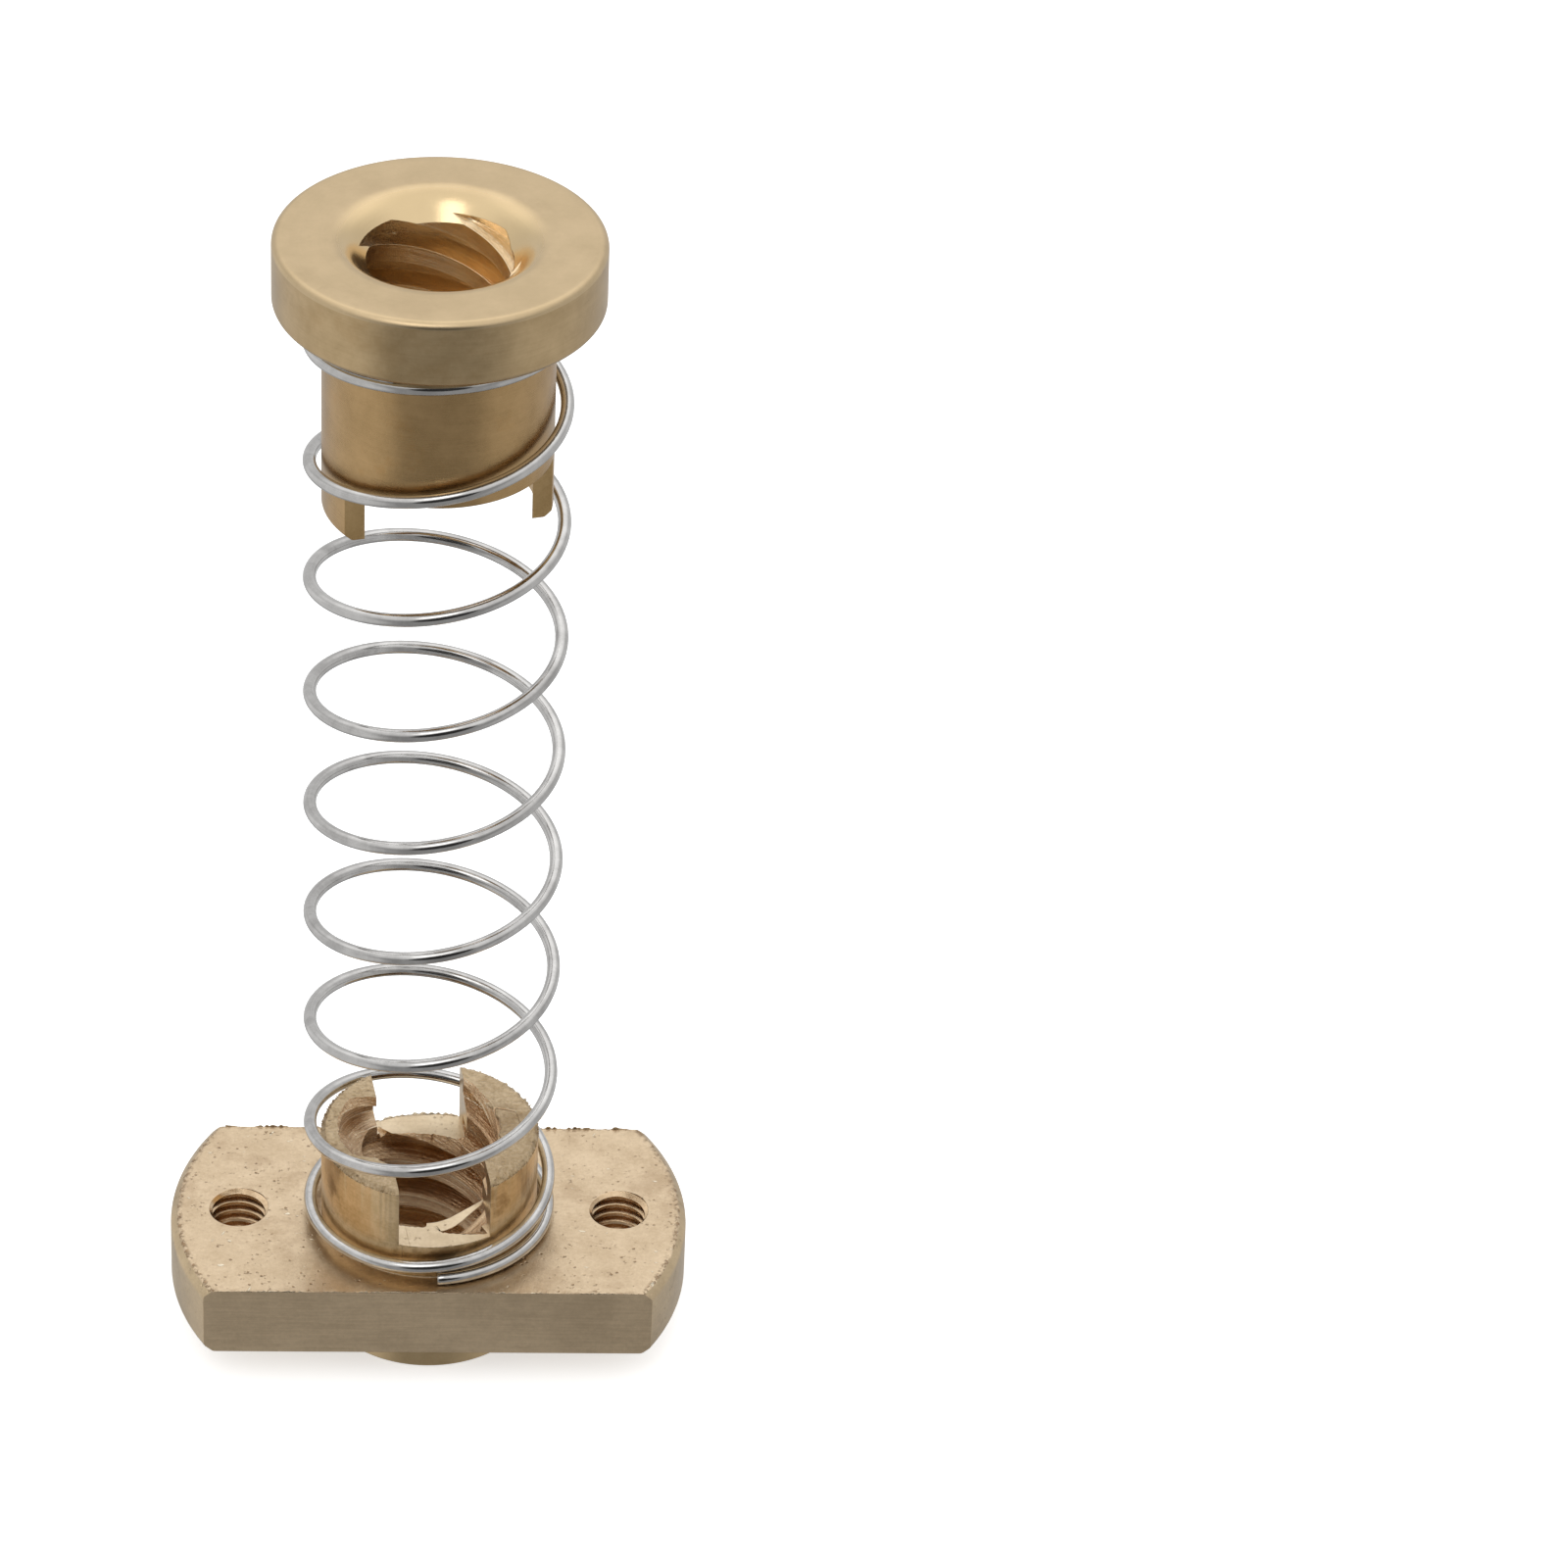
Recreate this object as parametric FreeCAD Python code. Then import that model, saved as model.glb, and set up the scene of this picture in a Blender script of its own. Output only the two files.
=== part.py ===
import FreeCAD, Part
import math
import os

# Spring-loaded anti-backlash nut for a four-start trapezoidal lead screw.
# Three pieces stand on one axis, which is Z: a flanged main nut at the bottom,
# a compression spring over its hub, and a follower nut on top of the spring.
# The origin is on the thread axis at the main nut's mounting face.
# All sizes are in millimetres and all angles in degrees.

# Lead thread, nominal 8 mm, cut in both nuts: the crest of the nut's thread
lead_bore_diameter = 6.4

# Main nut: a turned disc flange with two flats milled on it
flange_diameter = 24.4
flange_width = 12.5
flange_thickness = 3.6
flange_rim_chamfer = 0.36
screw_spacing = 18.0
screw_drill_diameter = 2.5
screw_mouth_diameter = 2.8

# Main nut: the hub above the flange, with two slots across it
hub_diameter = 10.2
hub_height = 4.9
hub_edge_chamfer = 0.2
hub_mouth_diameter = 6.8
slot_width = 4.3
slot_depth = 3.1
slot_angle = 99.0

# Main nut: the locating boss below the flange
boss_diameter = 10.2
boss_height = 1.85
boss_edge_chamfer = 0.1
boss_mouth_diameter = 8.8

# Spring: wire with one closed turn at each end, wound right-handed
# The real wire is round, and the solid's wire has a few flats on that outline
wire_diameter = 0.6
spring_free_length = 49.9
spring_active_turns = 7.87
spring_closed_turns = 1.03
spring_closed_gap = 0.03
spring_ease_turns = 0.3
spring_start_angle = -88.0
spring_radial_clearance = 0.22
spring_seat_clearance = 0.02
wire_flat_count = 8
points_per_turn = 16

# Follower nut: a turned flange and barrel with two tabs that fit the slots
follower_flange_diameter = 14.5
follower_flange_thickness = 3.2
follower_top_chamfer = 0.2
follower_under_chamfer = 0.25
follower_mouth_diameter = 8.8
barrel_diameter = 10.2
barrel_length = 7.3
tab_length = 3.0
tab_end_chamfer = 0.3
tab_side_clearance = 0.075
tab_angle = 14.0
relief_diameter = 8.6
relief_margin = 0.6

# A cutting tool is this much longer than what it cuts, at each end
overshoot = 1.0

# The closed turns of the spring lie on each other with this rise a turn
closed_pitch = wire_diameter + spring_closed_gap

# Heights that the pieces share
flange_top = flange_thickness
hub_top = flange_top + hub_height
boss_bottom = -boss_height
spring_bottom = flange_top + spring_seat_clearance
spring_top = spring_bottom + spring_free_length
follower_seat = spring_top + spring_seat_clearance
follower_top = follower_seat + follower_flange_thickness
barrel_bottom = follower_seat - barrel_length
tab_bottom = barrel_bottom - tab_length


def point(radius, height):
    """A point of a turned profile, in the plane of X and Z."""
    return FreeCAD.Vector(radius, 0, height)


def turned(outline):
    """The solid that a closed outline of points sweeps round the Z axis."""
    wire = Part.makePolygon([point(*corner) for corner in outline + outline[:1]])
    return Part.Face(wire).revolve(FreeCAD.Vector(0, 0, 0), FreeCAD.Vector(0, 0, 1), 360)


def cylinder(diameter, low, high):
    """An upright cylinder on the Z axis between two heights."""
    return Part.makeCylinder(diameter / 2, high - low, FreeCAD.Vector(0, 0, low))


def mouth(diameter, bore_diameter, height, outward):
    """A 45 degree countersink; outward is 1 where the bore opens upwards, -1 downwards."""
    depth = (diameter - bore_diameter) / 2
    return turned([
        (0, height + outward * overshoot),
        (diameter / 2 + overshoot, height + outward * overshoot),
        (bore_diameter / 2, height - outward * depth),
        (0, height - outward * depth),
    ])


def cross_bar(width, length, low, high, angle):
    """A bar centred on the Z axis, between two heights, turned by an angle from the X axis."""
    bar = Part.makeBox(length, width, high - low, FreeCAD.Vector(-length / 2, -width / 2, low))
    bar.rotate(FreeCAD.Vector(0, 0, 0), FreeCAD.Vector(0, 0, 1), angle)
    return bar


def main_nut_blank():
    """Boss, flange and hub, turned in one piece."""
    rim = flange_diameter / 2
    hub = hub_diameter / 2
    boss = boss_diameter / 2
    return turned([
        (0, boss_bottom),
        (boss - boss_edge_chamfer, boss_bottom),
        (boss, boss_bottom + boss_edge_chamfer),
        (boss, 0),
        (rim - flange_rim_chamfer, 0),
        (rim, flange_rim_chamfer),
        (rim, flange_top - flange_rim_chamfer),
        (rim - flange_rim_chamfer, flange_top),
        (hub, flange_top),
        (hub, hub_top - hub_edge_chamfer),
        (hub - hub_edge_chamfer, hub_top),
        (0, hub_top),
    ])


def flange_flats():
    """What the cutter takes off both long sides of the flange."""
    length = flange_diameter + 2 * overshoot
    depth = (flange_diameter - flange_width) / 2 + overshoot
    height = flange_thickness + 2 * overshoot
    flats = []
    for y in (flange_width / 2, -flange_width / 2 - depth):
        flats.append(Part.makeBox(length, depth, height, FreeCAD.Vector(-length / 2, y, -overshoot)))
    return flats


def screw_hole(x):
    """A hole to be tapped through the flange, with a small mouth at both faces."""
    hole = cylinder(screw_drill_diameter, -overshoot, flange_top + overshoot)
    top = mouth(screw_mouth_diameter, screw_drill_diameter, flange_top, 1)
    bottom = mouth(screw_mouth_diameter, screw_drill_diameter, 0, -1)
    hole = hole.fuse([top, bottom])
    hole.translate(FreeCAD.Vector(x, 0, 0))
    return hole


def make_main_nut():
    """The flanged nut with its two tapped holes and its slotted hub."""
    blank = main_nut_blank()
    bore = cylinder(lead_bore_diameter, boss_bottom - overshoot, hub_top + overshoot)
    top = mouth(hub_mouth_diameter, lead_bore_diameter, hub_top, 1)
    bottom = mouth(boss_mouth_diameter, lead_bore_diameter, boss_bottom, -1)
    slot_length = hub_diameter + 2 * overshoot
    slots = cross_bar(slot_width, slot_length, hub_top - slot_depth, hub_top + overshoot, slot_angle)
    holes = [screw_hole(-screw_spacing / 2), screw_hole(screw_spacing / 2)]
    return blank.cut(flange_flats() + [bore, top, bottom, slots] + holes)


def spring_height(turn, total_turns, pitch):
    """Height of the wire's centre above the seat after a number of turns.

    The slope is the closed pitch in the end turns and the full pitch between them,
    and changes evenly over the ease about each change.
    """
    def ramp(distance):
        """Integral of a slope that grows from 0 to 1 about distance 0."""
        half = spring_ease_turns / 2
        if distance <= -half:
            return 0.0
        if distance >= half:
            return distance
        return (distance + half) ** 2 / (4 * half)

    start = spring_closed_turns
    end = total_turns - spring_closed_turns
    extra = ramp(turn - start) - ramp(turn - end)
    return wire_diameter / 2 + closed_pitch * turn + (pitch - closed_pitch) * extra


def wire_section(centre, outward, along):
    """The wire's section: a regular polygon whose flats lie on the round wire's outline."""
    across = along.cross(outward).normalize()
    corner_radius = wire_diameter / 2 / math.cos(math.pi / wire_flat_count)
    corners = []
    for corner in range(wire_flat_count):
        angle = 2 * math.pi * (corner + 0.5) / wire_flat_count
        aside = outward * math.cos(angle) + across * math.sin(angle)
        corners.append(centre + aside * corner_radius)
    return Part.makePolygon(corners + corners[:1])


def make_spring():
    """Wire swept along a smooth right-handed coil with closed ends."""
    total_turns = spring_active_turns + 2 * spring_closed_turns
    rise = spring_free_length - wire_diameter - 2 * spring_closed_turns * closed_pitch
    pitch = rise / spring_active_turns
    inner = max(hub_diameter, barrel_diameter) / 2 + spring_radial_clearance
    radius = inner + wire_diameter / 2
    steps = round(total_turns * points_per_turn)
    path = []
    for step in range(steps + 1):
        turn = total_turns * step / steps
        angle = math.radians(spring_start_angle + 360 * turn)
        height = spring_bottom + spring_height(turn, total_turns, pitch)
        path.append(FreeCAD.Vector(radius * math.cos(angle), radius * math.sin(angle), height))
    curve = Part.BSplineCurve()
    curve.interpolate(path)
    outward = FreeCAD.Vector(path[0].x, path[0].y, 0).normalize()
    section = wire_section(path[0], outward, curve.tangent(curve.FirstParameter)[0])
    return Part.Wire(curve.toShape()).makePipeShell([section], True, True)


def follower_blank():
    """Flange and barrel, turned in one piece, down to the tabs' tips."""
    rim = follower_flange_diameter / 2
    barrel = barrel_diameter / 2
    return turned([
        (0, tab_bottom),
        (barrel - tab_end_chamfer, tab_bottom),
        (barrel, tab_bottom + tab_end_chamfer),
        (barrel, follower_seat),
        (rim - follower_under_chamfer, follower_seat),
        (rim, follower_seat + follower_under_chamfer),
        (rim, follower_top - follower_top_chamfer),
        (rim - follower_top_chamfer, follower_top),
        (0, follower_top),
    ])


def thread_relief():
    """The plain bore inside the tabs, which ends in a 45 degree cone."""
    relief_top = barrel_bottom + relief_margin
    cone_height = (relief_diameter - lead_bore_diameter) / 2
    return turned([
        (0, tab_bottom - overshoot),
        (relief_diameter / 2, tab_bottom - overshoot),
        (relief_diameter / 2, relief_top),
        (lead_bore_diameter / 2, relief_top + cone_height),
        (0, relief_top + cone_height),
    ])


def make_follower_nut():
    """The flanged barrel with its countersunk bore, its relief and its two tabs."""
    blank = follower_blank()
    bore = cylinder(lead_bore_diameter, tab_bottom - overshoot, follower_top + overshoot)
    top = mouth(follower_mouth_diameter, lead_bore_diameter, follower_top, 1)
    ring = cylinder(barrel_diameter + 2 * overshoot, tab_bottom - overshoot, barrel_bottom)
    tab_width = slot_width - 2 * tab_side_clearance
    bar_length = barrel_diameter + 4 * overshoot
    bar = cross_bar(tab_width, bar_length, tab_bottom - 2 * overshoot, barrel_bottom, tab_angle)
    return blank.cut([bore, top, thread_relief(), ring.cut(bar)])


def write(name, shape):
    """Check that a piece is one sound solid and write it under its name."""
    solid = shape.Solids[0]
    if len(shape.Solids) != 1 or not solid.isValid():
        raise ValueError(name + " is not one sound solid")
    solid.exportStep(os.path.join("parts", name + ".step"))
    print(name, round(solid.Volume, 2), "cubic millimetres")


os.makedirs("parts", exist_ok=True)
write("main_nut", make_main_nut())
write("spring", make_spring())
write("follower_nut", make_follower_nut())
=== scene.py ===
"""Looks of a spring-loaded anti-backlash lead screw nut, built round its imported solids.

Shapes are worked out in millimetres and put into the meshes in metres.
The origin is on the thread axis at the mounting face, with Z up.
"""

import logging
import math
from collections.abc import Callable
from dataclasses import dataclass, field, replace
from enum import Enum
from functools import cache

import bpy
import numpy as np
from mathutils import Matrix, Vector


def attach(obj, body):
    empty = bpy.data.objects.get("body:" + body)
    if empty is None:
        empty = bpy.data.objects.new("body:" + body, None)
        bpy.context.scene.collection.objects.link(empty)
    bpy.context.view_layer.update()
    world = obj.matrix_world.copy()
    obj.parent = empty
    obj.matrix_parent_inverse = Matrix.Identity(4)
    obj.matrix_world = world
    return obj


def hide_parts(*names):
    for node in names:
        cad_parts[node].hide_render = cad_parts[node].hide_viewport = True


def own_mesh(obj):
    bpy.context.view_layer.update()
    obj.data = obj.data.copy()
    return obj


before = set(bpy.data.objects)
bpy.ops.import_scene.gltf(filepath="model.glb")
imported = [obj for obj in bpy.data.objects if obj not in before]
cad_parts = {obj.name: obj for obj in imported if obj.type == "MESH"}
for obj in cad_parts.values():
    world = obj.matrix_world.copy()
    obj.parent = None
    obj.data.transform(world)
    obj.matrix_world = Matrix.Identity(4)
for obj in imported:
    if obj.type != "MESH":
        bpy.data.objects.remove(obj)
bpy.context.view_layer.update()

LOG = logging.getLogger("lead_screw_nut")
MM = 0.001
TURN = 2 * math.pi
SHARP_EDGE = math.radians(32)
ROUND_POINTS = 192

Array = np.ndarray
Colour = tuple[float, float, float]


def math_operator(operation: str, reflected: bool = False) -> Callable:
    """An operator of two operands that adds one Math node.

    Args:
        operation: Name of the node's operation.
        reflected: Whether the channel is the second operand.

    Returns:
        The method.
    """

    def apply(channel: "Channel", other: "Channel | float") -> "Channel":
        """The node's result."""
        pair = (other, channel) if reflected else (channel, other)
        return channel.graph.node("ShaderNodeMath", {"operation": operation}, dict(enumerate(pair)))

    return apply


class Channel:
    """A value that changes over a surface. Its operators add Math nodes to the graph it lives in."""

    def __init__(self, graph: "Graph", socket: bpy.types.NodeSocket) -> None:
        """Wraps an output socket of a node in the graph."""
        self.graph = graph
        self.socket = socket

    __add__ = math_operator("ADD")
    __radd__ = math_operator("ADD", reflected=True)
    __sub__ = math_operator("SUBTRACT")
    __rsub__ = math_operator("SUBTRACT", reflected=True)
    __mul__ = math_operator("MULTIPLY")
    __rmul__ = math_operator("MULTIPLY", reflected=True)
    __truediv__ = math_operator("DIVIDE")

    def function(self, operation: str) -> "Channel":
        """The value under a function of one operand, such as SINE or ABSOLUTE."""
        return self.graph.node("ShaderNodeMath", {"operation": operation}, {0: self})

    def rise(self, low: float, high: float) -> "Channel":
        """A smooth step from 0 at one value to 1 at another.

        Args:
            low: Where the step starts.
            high: Where the step ends; below low, the step falls.

        Returns:
            The step, from 0 to 1.
        """
        if high < low:
            return 1.0 - self.rise(high, low)
        return self.graph.node(
            "ShaderNodeMapRange",
            {"interpolation_type": "SMOOTHSTEP"},
            {"Value": self, "From Min": low, "From Max": high},
        )


class Graph:
    """The nodes of one material or of the world, written as expressions."""

    def __init__(self, tree: bpy.types.NodeTree) -> None:
        """Empties the node tree of a material or of the world and takes it over."""
        self.tree = tree
        self.tree.nodes.clear()

    def node(
        self,
        kind: str,
        settings: dict[str, object] | None = None,
        inputs: dict[int | str, object] | None = None,
        output: int | str = 0,
    ) -> Channel | None:
        """Adds a node.

        Args:
            kind: The node's type.
            settings: Properties of the node, which are set first.
            inputs: Values or channels by the name or number of their socket.
            output: Name or number of the output that is wanted.

        Returns:
            The wanted output, or nothing for a node that ends the graph.
        """
        node = self.tree.nodes.new(kind)
        for name, value in (settings or {}).items():
            setattr(node, name, value)
        for key, value in (inputs or {}).items():
            if isinstance(value, Channel):
                self.tree.links.new(value.socket, node.inputs[key])
            else:
                node.inputs[key].default_value = value
        return Channel(self, node.outputs[output]) if node.outputs else None

    def vector(self, x: Channel | float, y: Channel | float, z: Channel | float) -> Channel:
        """Three values as one vector."""
        return self.node("ShaderNodeCombineXYZ", None, {0: x, 1: y, 2: z})

    def noise(self, place: Channel, scale: float, detail: float = 4.0, rough: float = 0.7) -> Channel:
        """Cloudy noise from 0 to 1: scale is clouds a unit, detail octaves, and rough how fast they fade."""
        inputs = {"Vector": place, "Scale": scale, "Detail": detail, "Roughness": rough}
        return self.node("ShaderNodeTexNoise", {"noise_dimensions": "3D"}, inputs)

    def cells(self, place: Channel, scale: float) -> Channel:
        """Distance to the nearest of many scattered points, in cell widths."""
        return self.node("ShaderNodeTexVoronoi", {"feature": "F1"}, {"Vector": place, "Scale": scale})

    def blend(self, factor: Channel | float, first: Channel | Colour, second: Channel | Colour) -> Channel:
        """A colour between two others.

        Args:
            factor: 0 for the first colour and 1 for the second.
            first: The first colour.
            second: The second colour.

        Returns:
            The colour.
        """
        pair = [c if isinstance(c, Channel) else (*c, 1.0) for c in (first, second)]
        inputs = {0: factor, 6: pair[0], 7: pair[1]}
        return self.node("ShaderNodeMix", {"data_type": "RGBA"}, inputs, 2)

    def surface(self, inputs: dict[int | str, object]) -> None:
        """Ends the graph with the Principled shader and the material's output."""
        shader = self.node("ShaderNodeBsdfPrincipled", None, inputs)
        self.node("ShaderNodeOutputMaterial", None, {"Surface": shader})


class MetalGraph(Graph):
    """The nodes of one metal, with the point's own X, Y and Z in millimetres."""

    def __init__(self, tree: bpy.types.NodeTree) -> None:
        """Empties a material's tree and reads the point from the object's coordinates.

        Args:
            tree: The material's tree.
        """
        super().__init__(tree)
        own = self.node("ShaderNodeTexCoord", output="Object")
        scaled = self.node("ShaderNodeVectorMath", {"operation": "SCALE"}, {0: own, "Scale": 1 / MM})
        axes = [self.node("ShaderNodeSeparateXYZ", None, {0: scaled}, i) for i in range(3)]
        self.x, self.y, self.z = axes
        self.place = self.vector(self.x, self.y, self.z)

    def radius(self) -> Channel:
        """Distance from the Z axis."""
        return (self.x * self.x + self.y * self.y).function("SQRT")


class Grain(Enum):
    """Which way a cutting tool left its fine lines."""

    CLOUDY = "no direction"
    ALONG_X = "straight lines along X"
    ROUND = "rings round the axis"
    HELICAL = "lines along the lead thread"
    DRAWN = "lines along a coiled wire"


@dataclass(frozen=True)
class MetalFinish:
    """One machined metal surface: its colours, its tool marks and its wear.

    Lengths are in millimetres, and patterns are counted for each millimetre. A share says how far a
    mark takes over from the colour below it, and a tint how far a pattern moves the colour.
    """

    name: str
    light: Colour
    deep: Colour
    stain: Colour
    # Painted highlight colour, used on the scratches and on the grain's bright lines.
    glint: Colour = (0.95, 0.86, 0.68)
    roughness: float = 0.32
    roughness_spread: float = 0.10
    grain: Grain = Grain.CLOUDY
    grain_count: float = 9.0
    grain_tint: float = 0.25
    grain_depth: float = 0.004
    cloud_count: float = 0.7
    cloud_tint: float = 1.2
    fine_count: float = 5.5
    mottle: float = 0.9
    stains_per_cloud: float = 0.45
    stain_share: float = 0.35
    pit_count: float = 2.2
    pit_share: float = 0.0
    pit_depth: float = 0.03
    # Share of scratches: real marks, painted in the glint colour as painted highlight.
    scratch_and_glint_share: float = 0.0
    worn_radius: float = 0.0
    worn_half_width: float = 0.0
    worn_reach: float = 0.30
    edge_radius: float = 0.04
    lead: float = 8.0
    lines_per_turn: float = 4.0
    # Share of the grain's bright lines that are painted in the glint colour: painted highlight.
    painted_glint_line_share: float = 0.0
    polished_radius: float = 0.0
    polished: Colour = (0.80, 0.61, 0.35)
    polished_share: float = 0.75
    polished_gloss: float = 0.45
    flat: bool = False

    def build(self) -> bpy.types.Material:
        """Makes the material.

        Returns:
            The material, with its nodes.
        """
        material = bpy.data.materials.new(self.name)
        material.use_nodes = True
        graph = MetalGraph(material.node_tree)
        clouds = graph.noise(graph.place, self.cloud_count, 5.0, 0.62)
        blots = graph.noise(graph.place, self.cloud_count * self.stains_per_cloud, 5.0, 0.68)
        stains = blots.rise(0.50, 0.64)
        grain = self.tool_marks(graph)
        fine = graph.noise(graph.place, self.fine_count)
        tint = (clouds - 0.5) * self.cloud_tint + (grain - 0.5) * (2.0 * self.grain_tint)
        tint = tint + (fine - 0.5) * self.mottle
        colour = graph.blend((tint + 0.5).rise(0.0, 1.0), self.deep, self.light)
        colour = graph.blend(stains * self.stain_share, colour, self.stain)
        height = grain * self.grain_depth + fine * (self.grain_depth * 0.8)
        if self.pit_share > 0:
            pits = self.pits(graph)
            if self.worn_radius > 0:
                pits = pits + self.worn_edge(graph)
            colour = graph.blend(pits * self.pit_share, colour, self.stain)
            height = height - pits * self.pit_depth
        # Scratches are real marks; their glint colour is painted highlight.
        if self.scratch_and_glint_share > 0:
            marks = self.scratches(graph)
            colour = graph.blend(marks * self.scratch_and_glint_share, colour, self.glint)
            height = height - marks * (self.grain_depth * 2)
        spread = self.roughness_spread
        rough = self.roughness + (clouds - 0.5) * spread + (grain - 0.5) * spread
        # Bright lines along the grain in the glint colour: painted highlight.
        if self.painted_glint_line_share > 0:
            colour = graph.blend(grain.rise(0.56, 0.66) * self.painted_glint_line_share, colour, self.glint)
        if self.polished_radius > 0:
            inside = graph.radius().rise(self.polished_radius + 0.45, self.polished_radius - 0.25)
            colour = graph.blend(inside * self.polished_share, colour, self.polished)
            rough = rough * (1.0 - inside * self.polished_gloss)
        self.shade(graph, colour, rough, height)
        return material

    def tool_marks(self, graph: MetalGraph) -> Channel:
        """Noise that is drawn out along the tool's path.

        Along X the noise is read at (x/25, y, z), and round the axis at (r, 0.03 x, z). Along a thread
        or a coil it is read at the cosine and sine of 2 pi z / lead minus the angle, which stay the
        same on a helix.

        Args:
            graph: Where the nodes go.

        Returns:
            The lines, from 0 to 1.
        """
        x, y, z = graph.x, graph.y, graph.z
        if self.grain is Grain.CLOUDY:
            return graph.noise(graph.place, self.grain_count)
        if self.grain is Grain.ALONG_X:
            return graph.noise(graph.vector(x * 0.04, y, z), self.grain_count)
        radius = graph.radius()
        if self.grain is Grain.ROUND:
            return graph.noise(graph.vector(radius, x * 0.03, z), self.grain_count)
        turn = z * (TURN / self.lead)
        cosine, sine = turn.function("COSINE"), turn.function("SINE")
        along = (x * cosine + y * sine) / radius * self.lines_per_turn
        across = (y * cosine - x * sine) / radius * self.lines_per_turn
        return graph.noise(graph.vector(along, across, radius), self.grain_count)

    def pits(self, graph: MetalGraph) -> Channel:
        """Small uneven pores: scattered cells and a fine noise, mostly where a slower noise is high.

        Args:
            graph: Where the nodes go.

        Returns:
            The pores, from 0 to about 1.
        """
        patches = graph.noise(graph.place, 0.8, 3.0, 0.5).rise(0.40, 0.62)
        pores = graph.cells(graph.place, self.pit_count).rise(0.20, 0.06)
        specks = graph.noise(graph.place, self.pit_count * 2.0, 3.0, 0.6).rise(0.62, 0.72)
        return pores * patches + specks * (patches * 0.7 + 0.15)

    def worn_edge(self, graph: MetalGraph) -> Channel:
        """Dark broken specks along the turned rim and along the two milled edges.

        Args:
            graph: Where the nodes go.

        Returns:
            The specks, from 0 to about 1.
        """
        by_rim = (graph.radius() - self.worn_radius).function("ABSOLUTE").rise(self.worn_reach, 0.03)
        inner = self.worn_half_width - self.worn_reach
        by_flat = graph.y.function("ABSOLUTE").rise(inner, self.worn_half_width)
        broken = graph.noise(graph.place, 3.4).rise(0.47, 0.60)
        return (by_rim + by_flat * 0.4) * broken

    def scratches(self, graph: MetalGraph) -> Channel:
        """Short bright streaks: the peaks of two noises that are drawn out along slanted lines.

        Args:
            graph: Where the nodes go.

        Returns:
            The streaks, from 0 to about 1.
        """
        x, y, z = graph.x, graph.y, graph.z
        first = graph.noise(graph.vector(x * 0.35 + y * 1.9, x * 0.75 - y * 0.12, z), 1.7, 2.0, 0.5)
        second = graph.noise(graph.vector(x * 2.3 - y * 1.0, x * 0.2 + y * 0.45, z + 7.0), 1.5, 2.0, 0.5)
        return first.rise(0.705, 0.745) + second.rise(0.72, 0.76)

    def shade(self, graph: Graph, colour: Channel, rough: Channel, height: Channel) -> None:
        """Joins colour, roughness and relief to the metal's shader.

        Args:
            graph: Where the nodes go.
            colour: Base colour.
            rough: Roughness.
            height: Relief in millimetres.
        """
        edge = graph.node("ShaderNodeBevel", {"samples": 6}, {"Radius": self.edge_radius * MM})
        relief = {"Strength": 1.0, "Distance": MM, "Height": height, "Normal": edge}
        bump = graph.node("ShaderNodeBump", None, relief)
        graph.surface({"Base Color": colour, "Metallic": 1.0, "Roughness": rough, "Normal": bump})


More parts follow.
